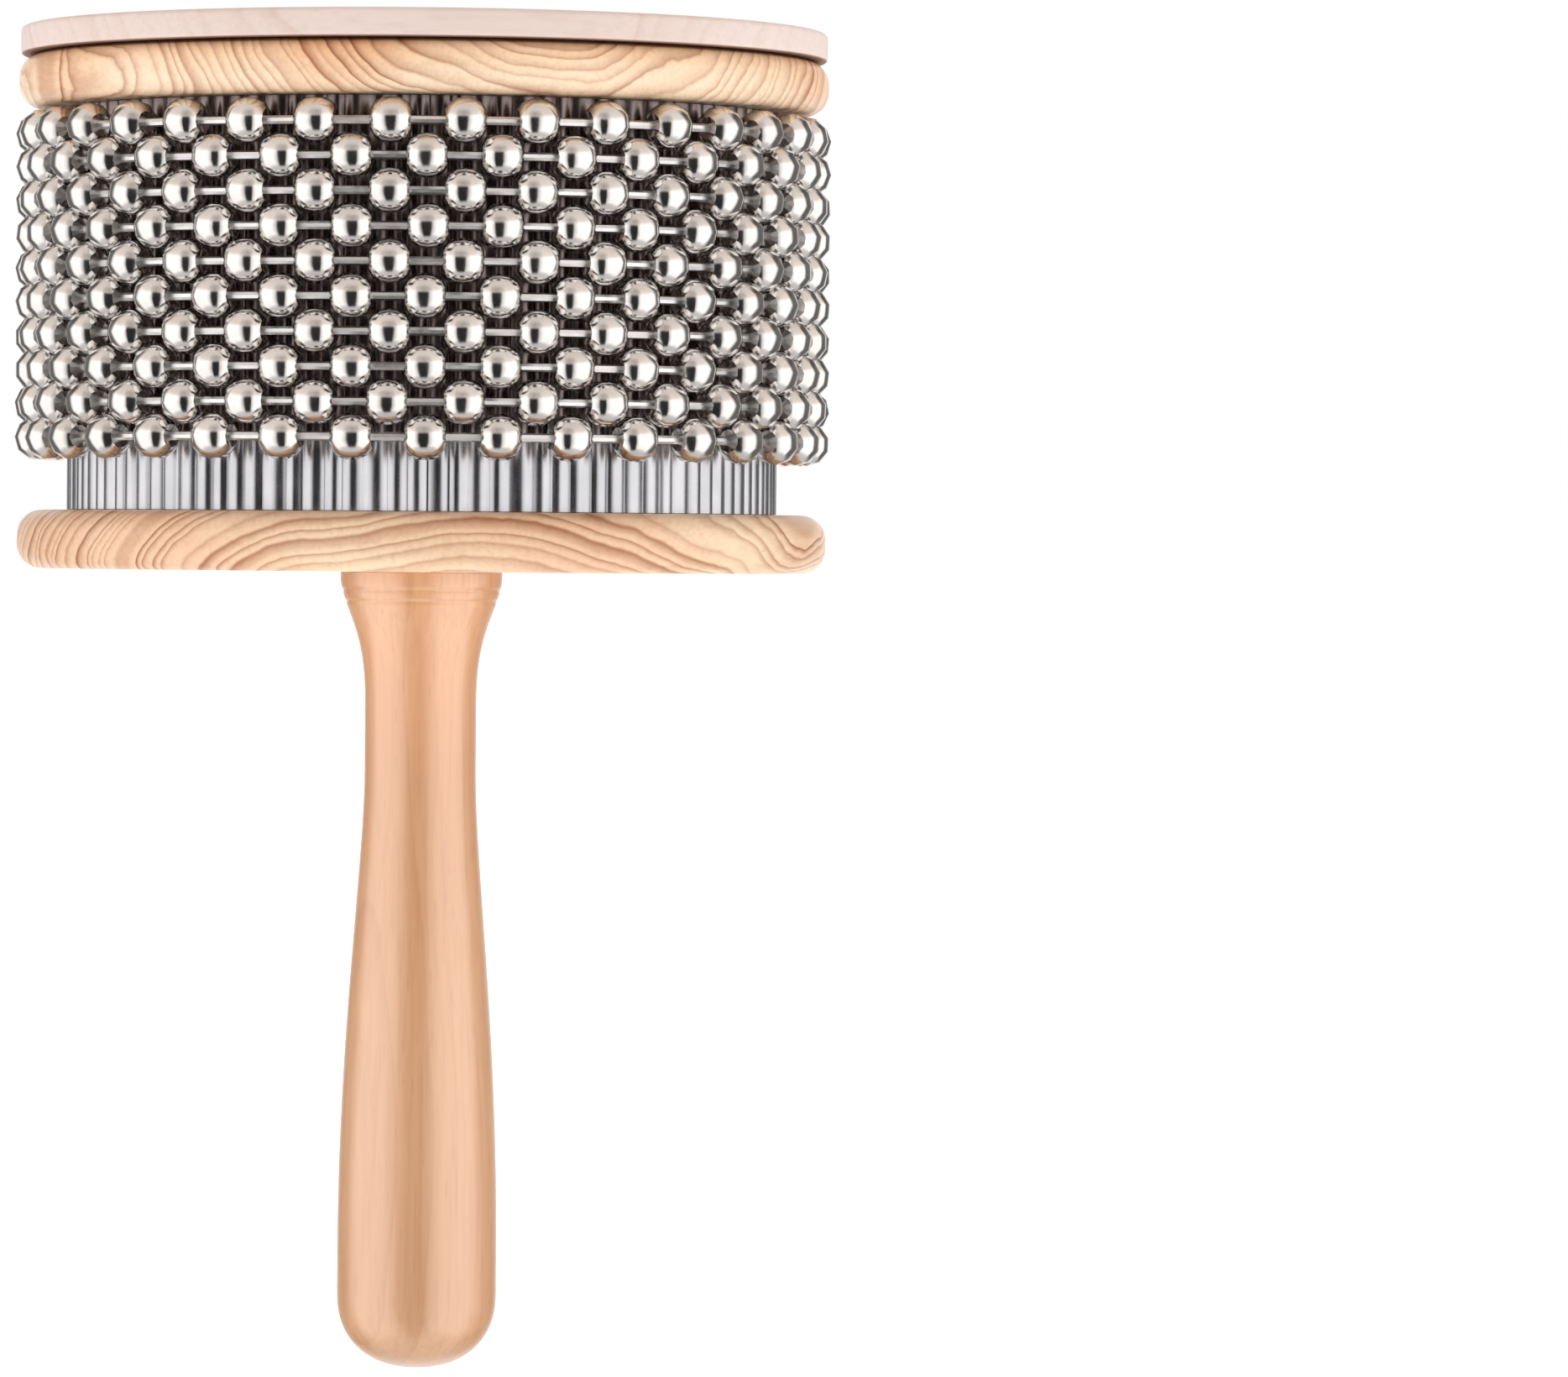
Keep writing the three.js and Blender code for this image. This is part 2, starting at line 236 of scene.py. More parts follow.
def woodMaterial(name, look):
    # turns = distance from a bent pith line / ring pitch, with a wander; each ring darkens towards its
    # end by a value drawn for it times (gain times patch + start), plus a least amount; fibres and flecks
    # are noise drawn out along the grain
    material, tree, shader = newMaterial(name)
    place = node(tree, "TexCoord").outputs["Object"]
    settings = {"Vector": place, "Rotation": look["grainTurn"], "Location": look["pith"]}
    aligned = node(tree, "Mapping", settings).outputs[0]
    bent = aligned
    for scale, reach in look["warps"]:
        settings = {"Vector": aligned, "Scale": scale, "Detail": 1.5, "Roughness": 0.4}
        slow = node(tree, "TexNoise", settings).outputs["Color"]
        push = node(tree, "VectorMath", {0: slow, 1: grey(0.5)}, operation="SUBTRACT").outputs[0]
        push = node(tree, "VectorMath", {0: push, "Scale": reach}, operation="SCALE").outputs[0]
        bent = node(tree, "VectorMath", {0: bent, 1: push}, operation="ADD").outputs[0]
    across = node(tree, "VectorMath", {0: bent, 1: (1, 0, 1)}, operation="MULTIPLY").outputs[0]
    distance = node(tree, "VectorMath", {0: across}, operation="LENGTH").outputs["Value"]
    turns = math2(tree, "DIVIDE", distance, look["ringPitch"])
    settings = {"W": math2(tree, "MULTIPLY", turns, wanderPace), "Scale": 1.0, "Detail": 1.0}
    wander = node(tree, "TexNoise", settings, noise_dimensions="1D").outputs["Fac"]
    turns = math2(tree, "MULTIPLY_ADD", wander, look["ringWander"], turns)
    drawnForRing = node(
        tree, "TexWhiteNoise", {"W": math2(tree, "FLOOR", turns)}, noise_dimensions="1D"
    ).outputs["Value"]
    patches = node(
        tree, "TexNoise", {"Vector": aligned, "Scale": look["patchScale"], "Detail": 2.0}
    ).outputs["Fac"]
    patchGain, patchStart = look["linePatches"]
    strength = math2(tree, "MULTIPLY_ADD", patches, patchGain, patchStart)
    strength = math2(tree, "MULTIPLY", drawnForRing, strength)
    strength = math2(tree, "ADD", strength, look["lineLeast"])
    line = ramp(tree, math2(tree, "FRACT", turns), look["lineShape"])
    line = node(tree, "RGBToBW", {"Color": line}).outputs[0]
    line = node(tree, "Clamp", {"Value": math2(tree, "MULTIPLY", line, strength)}).outputs[0]
    patchFac = ramp(tree, patches, between(woodEdges["patches"], grey(0.0), grey(1.0)), True)
    early = mix(tree, "MIX", patchFac, *look["early"])
    base = mix(tree, "MIX", line, early, look["late"])
    fibres = stretchedNoise(tree, aligned, look["fibreScale"], 4.0, 0.62)
    fibreTone = ramp(tree, fibres, between(woodEdges["fibres"], look["fibreDark"], grey(1.0)))
    base = mix(tree, "MULTIPLY", 1.0, base, fibreTone)
    if "fleck" in look:
        settings = {"Vector": aligned, "Scale": look["fleckScale"]}
        fleckPlace = node(tree, "Mapping", settings).outputs[0]
        flecks = node(tree, "TexVoronoi", {"Vector": fleckPlace, "Scale": 1.0}).outputs["Distance"]
        fleckFac = ramp(tree, flecks, between(woodEdges["flecks"], grey(1.0), grey(0.0)))
        fleckFac = math2(tree, "MULTIPLY", fleckFac, look["fleck"])
        base = mix(tree, "MULTIPLY", fleckFac, base, look["fleckTone"])
    up = node(tree, "SeparateXYZ", {0: place}).outputs["Z"]
    for fromZ, toZ, tone in look.get("shades", ()):
        # painted shade: the tone comes in smoothly from one height to the other
        share = smoothStep(tree, up, fromZ, toZ)
        base = mix(tree, "MULTIPLY", share, base, tone)
    tree.links.new(base, shader.inputs["Base Color"])
    rough = smoothStep(tree, fibres, *woodEdges["rough"], *look["rough"])
    tree.links.new(rough, shader.inputs["Roughness"])
    height = math2(tree, "MULTIPLY_ADD", line, look["ringRelief"], fibres)
    settings = {"Height": height, "Strength": look["bump"], "Distance": bumpReach["wood"]}
    bump = node(tree, "Bump", settings)
    tree.links.new(bump.outputs[0], shader.inputs["Normal"])
    shader.inputs["Coat Weight"].default_value = look["lacquer"]
    shader.inputs["Coat Roughness"].default_value = look["lacquerRough"]
    shader.inputs["Coat IOR"].default_value = look.get("lacquerIor", plainLacquerIor)
    shader.inputs["IOR"].default_value = woodIor
    return material


lineShape = [
    (0.0, grey(0.30)),
    (0.10, grey(0.0)),
    (0.40, grey(0.10)),
    (0.72, grey(0.55)),
    (0.89, grey(1.0)),
    (1.0, grey(0.30)),
]
lowerPineLook = {
    "grainTurn": (0.0, 0.0, math.radians(14)),
    "pith": (-0.021, 0.0, -0.019),
    "warps": [(24.0, 0.014), (110.0, 0.0014), (420.0, 0.0004)],
    "ringPitch": 1.7 * mm,
    "ringWander": 2.0,
    "lineShape": lineShape,
    "lineLeast": 0.36,
    "linePatches": (2.4, -0.45),
    "early": (srgb(249, 221, 187), srgb(240, 198, 163)),
    "late": srgb(172, 112, 74),
    "patchScale": 26.0,
    "fibreScale": (1500.0, 60.0, 1500.0),
    "fibreDark": (0.92, 0.88, 0.84),
    "rough": (0.36, 0.52),
    "ringRelief": 0.4,
    "bump": 0.16,
    "lacquer": 0.35,
    "lacquerRough": 0.22,
}
upperPineLook = {
    **lowerPineLook,
    "grainTurn": (0.0, 0.0, math.radians(-9)),
    "pith": (-0.011, 0.0, -0.152),
    "warps": [(30.0, 0.016), (110.0, 0.0022), (420.0, 0.0005)],
    "ringPitch": 1.9 * mm,
    "early": (srgb(254, 226, 194), srgb(250, 203, 164)),
    # painted shade: the disc darkens and warms towards its top, and a thin dark line at the joint with
    # the cover paints the shade in the groove
    "shades": [
        (upperLow.z + 2.5 * mm, upperHigh.z - 0.5 * mm, (1.0, 0.90, 0.80)),
        (upperHigh.z - 0.75 * mm, upperHigh.z - 0.35 * mm, (0.30, 0.20, 0.15)),
    ],
}
coverLook = {
    **lowerPineLook,
    "grainTurn": (0.0, 0.0, math.radians(80)),
    "pith": (0.05, 0.0, -0.09),
    "warps": [(14.0, 0.02), (90.0, 0.002)],
    "ringPitch": 3.2 * mm,
    "lineLeast": 0.02,
    "early": (srgb(233, 217, 210), srgb(229, 210, 202)),
    "late": srgb(220, 196, 186),
    "patchScale": 18.0,
    "fibreScale": (1200.0, 50.0, 1200.0),
    "fibreDark": (0.95, 0.93, 0.91),
    # painted shade: a thin dark line along the bottom edge paints the shade in the groove at the joint
    "shades": [(coverLow.z + 0.3 * mm, coverLow.z + 0.05 * mm, (0.30, 0.20, 0.15))],
    "rough": (0.5, 0.66),
    "lacquer": 0.1,
    "lacquerRough": 0.35,
}
handleLook = {
    # the grain runs along the handle, so the pith line stands upright beside it
    "grainTurn": (math.radians(90), 0.0, 0.0),
    "pith": (0.045, 0.0, 0.03),
    "warps": [(9.0, 0.012), (40.0, 0.0015)],
    "ringPitch": 2.6 * mm,
    "ringWander": 2.0,
    "lineShape": [
        (0.0, grey(0.3)),
        (0.2, grey(0.0)),
        (0.7, grey(0.5)),
        (0.95, grey(1.0)),
        (1.0, grey(0.3)),
    ],
    "lineLeast": 0.10,
    "linePatches": (2.4, -0.45),
    "early": (srgb(238, 181, 129), srgb(234, 175, 123)),
    "late": srgb(225, 163, 111),
    # painted light and shade: the grip below the collar is darkened, so the collar stands lighter as if
    # lit from below, and the rounded tip is darkened as painted shade
    "shades": [
        (handleHigh.z - 8 * mm, handleHigh.z - 34 * mm, (0.87, 0.85, 0.84)),
        (handleLow.z + 7 * mm, handleLow.z + 0.5 * mm, (0.84, 0.87, 0.88)),
    ],
    "patchScale": 12.0,
    "fibreScale": (1300.0, 30.0, 1300.0),
    "fibreDark": (0.92, 0.88, 0.84),
    "fleck": 0.35,
    "fleckScale": (900.0, 130.0, 900.0),
    "fleckTone": (0.84, 0.74, 0.64),
    "rough": (0.34, 0.46),
    "ringRelief": 0.3,
    "bump": 0.10,
    "lacquer": 1.0,
    "lacquerRough": 0.30,
    "lacquerIor": 2.25,
}
coreLook = {
    **{key: value for key, value in handleLook.items() if key != "fleck"},
    "pith": (0.01, 0.0, 0.02),
    "ringPitch": 3.0 * mm,
    "early": (srgb(222, 190, 148), srgb(208, 170, 124)),
    "late": srgb(170, 126, 84),
    "rough": (0.55, 0.75),
    "lacquer": 0.0,
}

handleWood = woodMaterial("satinBeech", handleLook)
lowerPine = woodMaterial("lowerPine", lowerPineLook)
upperPine = woodMaterial("upperPine", upperPineLook)
coverWood = woodMaterial("paleCover", coverLook)
coreWood = woodMaterial("bareCore", coreLook)
print("woods ready")

# metals


def metalMaterial(name, look):
    # base tone varies a little in slow patches; fine scratches and smudges change the roughness
    material, tree, shader = newMaterial(name)
    place = node(tree, "TexCoord").outputs["Object"]
    patches = node(
        tree, "TexNoise", {"Vector": place, "Scale": look["patchScale"], "Detail": 3.0}
    ).outputs["Fac"]
    tone = ramp(tree, patches, between(metalEdges["patches"], *look["tone"]), True)
    if "shade" in look:
        # painted shade under the chain belt: the sheet is darker there, the tone coming in from one
        # height to the other
        fromZ, toZ, shade = look["shade"]
        up = node(tree, "SeparateXYZ", {0: place}).outputs["Z"]
        tone = mix(tree, "MULTIPLY", smoothStep(tree, up, fromZ, toZ), tone, shade)
    tree.links.new(tone, shader.inputs["Base Color"])
    stretched = node(tree, "Mapping", {"Vector": place, "Scale": look["scratchScale"]}).outputs[0]
    scratches = node(
        tree, "TexNoise", {"Vector": stretched, "Scale": 1.0, "Detail": 4.0, "Roughness": 0.7}
    ).outputs["Fac"]
    smudged = math2(tree, "MULTIPLY_ADD", patches, smudgeShare, scratches)
    low, high = metalEdges["smudges"]
    smooth, dull = look["rough"]
    settings = {"Value": smudged, "From Min": low, "From Max": high, "To Min": smooth, "To Max": dull}
    rough = node(tree, "MapRange", settings).outputs[0]
    tree.links.new(rough, shader.inputs["Roughness"])
    settings = {"Height": scratches, "Strength": look["bump"], "Distance": bumpReach["metal"]}
    bump = node(tree, "Bump", settings).outputs[0]
    tree.links.new(bump, shader.inputs["Normal"])
    shader.inputs["Metallic"].default_value = 1.0
    return material


beadLook = {
    "tone": ((0.71, 0.685, 0.665), (0.79, 0.768, 0.75)),
    "patchScale": 300.0,
    "scratchScale": (900.0, 900.0, 900.0),
    "rough": (0.09, 0.20),
    "bump": 0.05,
}
linkLook = {**beadLook, "tone": (grey(0.74), grey(0.86)), "rough": (0.30, 0.46)}
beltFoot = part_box(loopNames[-1])[0].z
sleeveLook = {
    "tone": ((0.49, 0.495, 0.52), (0.58, 0.585, 0.61)),
    # painted shade: the sheet darkens under the belt, where the beads shade it
    "shade": (beltFoot + 2.5 * mm, beltFoot + 5 * mm, (0.42, 0.34, 0.31)),
    "patchScale": 120.0,
    "scratchScale": (2600.0, 2600.0, 90.0),
    "rough": (0.16, 0.33),
    "bump": 0.06,
}
zincLook = {**linkLook, "tone": ((0.55, 0.56, 0.58), (0.66, 0.66, 0.66)), "rough": (0.25, 0.45)}
brassLook = {**linkLook, "tone": ((0.62, 0.44, 0.18), (0.74, 0.56, 0.26)), "rough": (0.22, 0.40)}
beadSteel = metalMaterial("polishedBead", beadLook)
linkSteel = metalMaterial("linkWire", linkLook)
sleeveSteel = metalMaterial("ribbedSheet", sleeveLook)
zincSteel = metalMaterial("zincPlate", zincLook)
brassMetal = metalMaterial("turnedBrass", brassLook)
for nodeName, material in (
    ("core_drum", coreWood),
    ("lower_dowel_1", coreWood),
    ("lower_dowel_2", coreWood),
    ("upper_dowel_1", coreWood),
    ("upper_dowel_2", coreWood),
    ("tie_bolt", zincSteel),
    ("tie_washer", zincSteel),
    ("handle_insert", brassMetal),
):
    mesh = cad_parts[nodeName].data
    mesh.materials.clear()
    mesh.materials.append(material)
print("metals ready")

# handle
handleShape = {
    "tipHeight": 11.2 * mm,
    "tipFullness": 2.25,
    "gripRadius": 12.05 * mm,
    "gripLength": 7.2 * mm,
    "waistRadius": 8.43 * mm,
    "waistDepth": 20.0 * mm,
    "waistLength": 10.0 * mm,
    "collarRadius": 12.25 * mm,
    "collarHeight": 1.6 * mm,
    "collarBevel": 0.25 * mm,
    # how far each curve's pulls reach, as a share of the curve's height
    "swellPulls": (0.45, 0.2),
    "flarePulls": (0.6, 0.3),
    "flareInset": 1.0 * mm,
    "groovesDown": (2.9 * mm, 4.6 * mm),
    "grooveDeep": 0.16 * mm,
    "grooveHalf": 0.5 * mm,
    "holeRadius": 5.1 * mm,
    "rimRadius": 6.6 * mm,
    "rimDepth": 1.3 * mm,
    "holeDepth": 20.0 * mm,
    "tipSteps": 18,
    "swellSteps": 36,
    "flareSteps": 100,
    "columns": 96,
}


def handlePiece(s):
    # the profile runs from the tip up to the shoulder and down into the insert's hole, then round Z
    top = handleHigh.z
    bottom = handleLow.z
    roundTop = bottom + s["tipHeight"]
    gripTop = roundTop + s["gripLength"]
    waistTop = top - s["waistDepth"]
    waistFoot = waistTop - s["waistLength"]
    collarFoot = top - s["collarHeight"]
    swell = waistFoot - gripTop
    flare = collarFoot - waistTop
    swellFoot, swellHead = (pull * swell for pull in s["swellPulls"])
    flareFoot, flareHead = (pull * flare for pull in s["flarePulls"])
    # the rounded end, by (r / radius)^n + (depth / height)^n = 1
    a = np.linspace(0, np.pi / 2, s["tipSteps"])
    power = 2 / s["tipFullness"]
    tip = np.stack(
        [s["gripRadius"] * np.sin(a) ** power, roundTop - s["tipHeight"] * np.cos(a) ** power], -1
    )
    grip = np.stack([np.full(4, s["gripRadius"]), np.linspace(roundTop, gripTop, 5)[1:]], -1)
    body = bezier(
        (s["gripRadius"], gripTop),
        (s["gripRadius"], gripTop + swellFoot),
        (s["waistRadius"], waistFoot - swellHead),
        (s["waistRadius"], waistFoot),
        s["swellSteps"],
    )[1:]
    waist = np.stack([np.full(5, s["waistRadius"]), np.linspace(waistFoot, waistTop, 6)[1:]], -1)
    cove = bezier(
        (s["waistRadius"], waistTop),
        (s["waistRadius"], waistTop + flareFoot),
        (s["collarRadius"] - s["flareInset"], collarFoot - flareHead),
        (s["collarRadius"], collarFoot),
        s["flareSteps"],
    )[1:]
    # fine V grooves part the collar's flat band and a ring under it from the flare
    for down in s["groovesDown"]:
        away = np.abs(cove[:, 1] - (top - down)) / s["grooveHalf"]
        cove[:, 0] -= s["grooveDeep"] * np.clip(1 - away, 0, 1)
    shoulder = np.array(
        [
            (s["collarRadius"], top - s["collarBevel"]),
            (s["collarRadius"] - s["collarBevel"], top),
            (s["rimRadius"], top),
            (s["rimRadius"], top - s["rimDepth"]),
            (s["holeRadius"], top - s["rimDepth"]),
            (s["holeRadius"], top - s["holeDepth"]),
            (0.0, top - s["holeDepth"]),
        ]
    )
    profile = np.vstack([tip, grip, body, waist, cove, shoulder])
    return gridMesh("turned_handle", lathePoints(profile, s["columns"]), wrapV=True)


finishPiece(handlePiece(handleShape), handleWood, rootBody, "handle_beech", "handle")
print("handle turned")

# flanges and cover
discShape = {
    "columns": 192,
    "boltHole": 3.4 * mm,
    "pocketRadius": 9.5 * mm,
    "pocketDepth": 5.2 * mm,
    "lowerRound": 3.7 * mm,
    "upperRound": 3.4 * mm,
    "coverTopRound": 0.8 * mm,
    "coverBottomRound": 0.5 * mm,
    "coverRoundSteps": 7,
}


def discProfile(radius, low, high, lowRound, highRound, inner, steps=11):
    # a rim of two quarter rounds, joined to the hole's or the pocket's wall
    rim = np.vstack(
        [
            roundCorner((radius - lowRound, low + lowRound), lowRound, -90, 0, steps),
            roundCorner((radius - highRound, high - highRound), highRound, 0, 90, steps),
        ]
    )
    return np.vstack([[inner[0]], rim, inner[1:], [inner[0]]])


def discPiece(name, profile, columns):
    # the profile is carried once round Z
    return gridMesh(name, lathePoints(profile, columns), wrapV=True)


s = discShape
hole = s["boltHole"]
lowerProfile = discProfile(
    lowerHigh.x, lowerLow.z, lowerHigh.z, s["lowerRound"], s["lowerRound"],
    [(hole, lowerLow.z), (hole, lowerHigh.z)],
)
finishPiece(
    discPiece("turned_lower_flange", lowerProfile, s["columns"]),
    lowerPine, rootBody, "flange_pine", "lower_flange",
)
pocketFloor = upperHigh.z - s["pocketDepth"]
upperProfile = discProfile(
    upperHigh.x, upperLow.z, upperHigh.z, s["upperRound"], s["upperRound"],
    [
        (hole, upperLow.z),
        (s["pocketRadius"], upperHigh.z),
        (s["pocketRadius"], pocketFloor),
        (hole, pocketFloor),
    ],
)
finishPiece(
    discPiece("turned_upper_flange", upperProfile, s["columns"]),
    upperPine, rootBody, "flange_pine", "upper_flange",
)
coverProfile = discProfile(
    coverHigh.x, coverLow.z, coverHigh.z, s["coverBottomRound"], s["coverTopRound"],
    [(0.0, coverLow.z), (0.0, coverHigh.z)], s["coverRoundSteps"],
)[:-1]
finishPiece(
    discPiece("pale_cover", coverProfile, s["columns"]),
    coverWood, rootBody, "cover_wood", "cover_disc",
)
print("flanges and cover turned")

# ribbed sleeve
sleeveShape = {
    "radius": 53.6 * mm,
    "ribDepth": 0.6 * mm,
    "ribs": 108,
    "sheet": 0.4 * mm,
    "lapRibs": 2,
    "climbRibs": 2,
    "lapStep": 0.5 * mm,
    "pointsPerRib": 12,
    "unevenWidth": 0.10,
    "unevenDepth": 0.22,
    "lean": 0.10,
    "creaseDegrees": 50,
}


def sleevePiece(s):
    # each rib is a parabola, fall = depth (2 t)^2 with t from -1/2 to 1/2 across it, a little uneven in
    # width, depth and lean; the strip's far end climbs one step on to its start
    low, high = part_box("ribbed_sleeve")
    turns = s["ribs"] + s["lapRibs"]
    edges = np.arange(turns + 1) + rng.uniform(-1, 1, turns + 1) * s["unevenWidth"]
    edges[[0, -1]] = (0, turns)
    across = np.linspace(0, 1, s["pointsPerRib"], endpoint=False)
    along = np.append((edges[:-1, None] + np.diff(edges)[:, None] * across).ravel(), turns)
    depth = s["ribDepth"] * (1 - rng.uniform(0, s["unevenDepth"], (turns, 1)))
    lean = rng.uniform(-1, 1, (turns, 1)) * s["lean"]
    fall = depth * ((2 * across - 1) ** 2 + lean * np.sin(2 * np.pi * across))
    fall = np.append(fall.ravel(), depth[-1]).clip(0)
    ribAngle = 2 * np.pi / s["ribs"]
    angle = np.pi / 2 + (along - s["lapRibs"] / 2) * ribAngle
    climb = s["lapRibs"] + s["climbRibs"]
    lift = s["lapStep"] * np.clip((along - (s["ribs"] - climb)) / climb, 0, 1)
    outer = s["radius"] + lift - fall
    inner = outer - s["sheet"]

    def wall(radius, height):
        x, y = radius * np.cos(angle), radius * np.sin(angle)
        return np.stack([x, y, np.full_like(angle, height)], -1)

    rows = [wall(outer, z) for z in np.linspace(low.z, high.z, 4)]
    rows += [wall(inner, z) for z in np.linspace(high.z, low.z, 2)]
    points = np.stack(rows + rows[:1])
    sleeve = gridMesh("ribbed_sheet", points, sharpDegrees=s["creaseDegrees"])
    work = bmesh.new()
    work.from_mesh(sleeve.data)
    bmesh.ops.holes_fill(work, edges=[e for e in work.edges if e.is_boundary], sides=0)
    bmesh.ops.recalc_face_normals(work, faces=work.faces)
    work.to_mesh(sleeve.data)
    work.free()
    sleeve.data.shade_smooth()
    sleeve.data.set_sharp_from_angle(angle=math.radians(s["creaseDegrees"]))
    return sleeve


finishPiece(sleevePiece(sleeveShape), sleeveSteel, rootBody, "ribbed_steel", "ribbed_sleeve")

nailShape = {
    "columns": 24,
    "headRadius": 1.5 * mm,
    "headHeight": 0.4 * mm,
    "domeHeight": 0.28 * mm,
    "domeFoot": 0.12 * mm,
    "shankRadius": 0.6 * mm,
    "pointLength": 1.2 * mm,
}


def nailPiece(name, nodeName, s):
    # a domed head, z = height sqrt(1 - (r / radius)^2), on a pointed shank, laid along Y
    low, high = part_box(nodeName)
    centre = (low.z + high.z) / 2
    headFoot = high.y - s["headHeight"]
    r = s["headRadius"] * np.sin(np.linspace(np.pi / 2, 0, 7))
    rise = s["domeHeight"] * np.sqrt(1 - (r / s["headRadius"]) ** 2)
    dome = np.stack([r, headFoot + s["domeFoot"] + rise], -1)
    profile = np.vstack(
        [
            [(0, low.y), (s["shankRadius"], low.y + s["pointLength"])],
            [(s["shankRadius"], headFoot), (s["headRadius"], headFoot)],
            dome,
        ]
    )
    points = lathePoints(profile, s["columns"])
    laid = np.stack([points[..., 1], points[..., 2], points[..., 0] + centre], -1)
    return gridMesh(name, laid, wrapV=True)


for i in (1, 2, 3):
    nail = nailPiece(f"domed_nail_{i}", f"seam_nail_{i}", nailShape)
    finishPiece(nail, zincSteel, rootBody, "zinc_steel", f"seam_nail_{i}")
print("sleeve and nails made")

# chain loops
chainShape = {
    "loopRadius": 58.2 * mm,
    "beads": 34,
    "beadRadius": 3.4 * mm,
    "beadLength": 6.0 * mm,
    "beadFullness": 2.5,
    "beadEnd": 3.25 * mm,
    "mouthDent": 0.5 * mm,
    "linkRadius": 0.65 * mm,
    "linkInside": 1.0 * mm,
    "linkColumns": 8,
    "frontPhase": -2.45,
    "columns": 10,
    "bands": 6,
    "creaseDegrees": 40,
    "slack": 0.12 * mm,
    "slackMost": 0.004,
}


def ringOfTurned(profile, columns, loopRadius, turns, height, spin):
    # each turned shape's axis lies along the loop's tangent, and its radius points outward and up
    a = np.linspace(0, 2 * np.pi, columns, endpoint=False)
    along, r = profile[:, 0], profile[:, 1]
    out = r[None, :, None] * np.cos(a[None, None, :] + spin[:, None, None])
    up = r[None, :, None] * np.sin(a[None, None, :] + spin[:, None, None])
    ahead = np.broadcast_to(along[None, :, None], out.shape)
    c, sn = np.cos(turns)[:, None, None], np.sin(turns)[:, None, None]
    x = (loopRadius + out) * c - ahead * sn
    y = (loopRadius + out) * sn + ahead * c
    return np.stack([x, y, height + up], -1)


def ringMesh(name, points, sharpDegrees):
    # points[shape, row, column]; each row closes on itself, and the shapes stay apart
    count, rows, cols = points.shape[:3]
    index = np.arange(count * rows * cols).reshape(count, rows, cols)
    index = np.concatenate([index, index[:, :, :1]], 2)
    quads = np.stack(
        [index[:, :-1, :-1], index[:, 1:, :-1], index[:, 1:, 1:], index[:, :-1, 1:]], -1
    )
    return buildMesh(name, points.reshape(-1, 3), quads.reshape(-1, 4), sharpDegrees)


def chainLoop(number, nodeName, s):
    low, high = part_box(nodeName)
    height = (low.z + high.z) / 2
    pitch = 2 * np.pi / s["beads"]
    first = -np.pi / 2 + math.radians(s["frontPhase"]) + (number % 2) * pitch / 2
    slack = rng.normal(0, s["slack"] / s["loopRadius"], s["beads"])
    slack = slack.clip(-s["slackMost"], s["slackMost"])
    turns = first + pitch * np.arange(s["beads"]) + slack
    # a barrel, (along / end)^n + (radius / R)^n = 1, cut off at its two mouths and closed there by
    # shallow cones
    reach = s["beadLength"] / 2
    n = s["beadFullness"]
    steps = np.linspace(-1, 1, s["bands"] + 1)
    along = s["beadEnd"] * np.sin(steps * math.asin(reach / s["beadEnd"]))
    girth = s["beadRadius"] * (1 - np.abs(along / s["beadEnd"]) ** n) ** (1 / n)
    ball = np.stack([along, girth], -1)
    dent = reach - s["mouthDent"]
    closed = np.vstack([[(-dent, 0)], ball, [(dent, 0)]])
    spin = rng.uniform(0, 2 * np.pi, s["beads"])
    beads = ringMesh(
        f"beads_{number + 1:02d}",
        ringOfTurned(closed, s["columns"], s["loopRadius"], turns, height, spin),
        s["creaseDegrees"],
    )
    finishPiece(beads, beadSteel, nodeName, "bead_steel", nodeName)
    # links: short rods from one bead's mouth to the next, laid at the half pitch
    nextTurns = np.roll(turns, -1)
    nextTurns[-1] += 2 * np.pi
    middle = (turns + nextTurns) / 2
    half = s["loopRadius"] * math.sin(pitch / 2) - reach + s["linkInside"]
    r = s["linkRadius"]
    rod = np.array([(-half, 0), (-half, r), (half, r), (half, 0)])
    linkCircle = s["loopRadius"] * math.cos(pitch / 2)
    links = ringMesh(
        f"links_{number + 1:02d}",
        ringOfTurned(rod, s["linkColumns"], linkCircle, middle, height, spin),
        s["creaseDegrees"],
    )
    finishPiece(links, linkSteel, nodeName, "bead_steel", nodeName)


for number, nodeName in enumerate(loopNames):
    chainLoop(number, nodeName, chainShape)
print("chain loops strung")

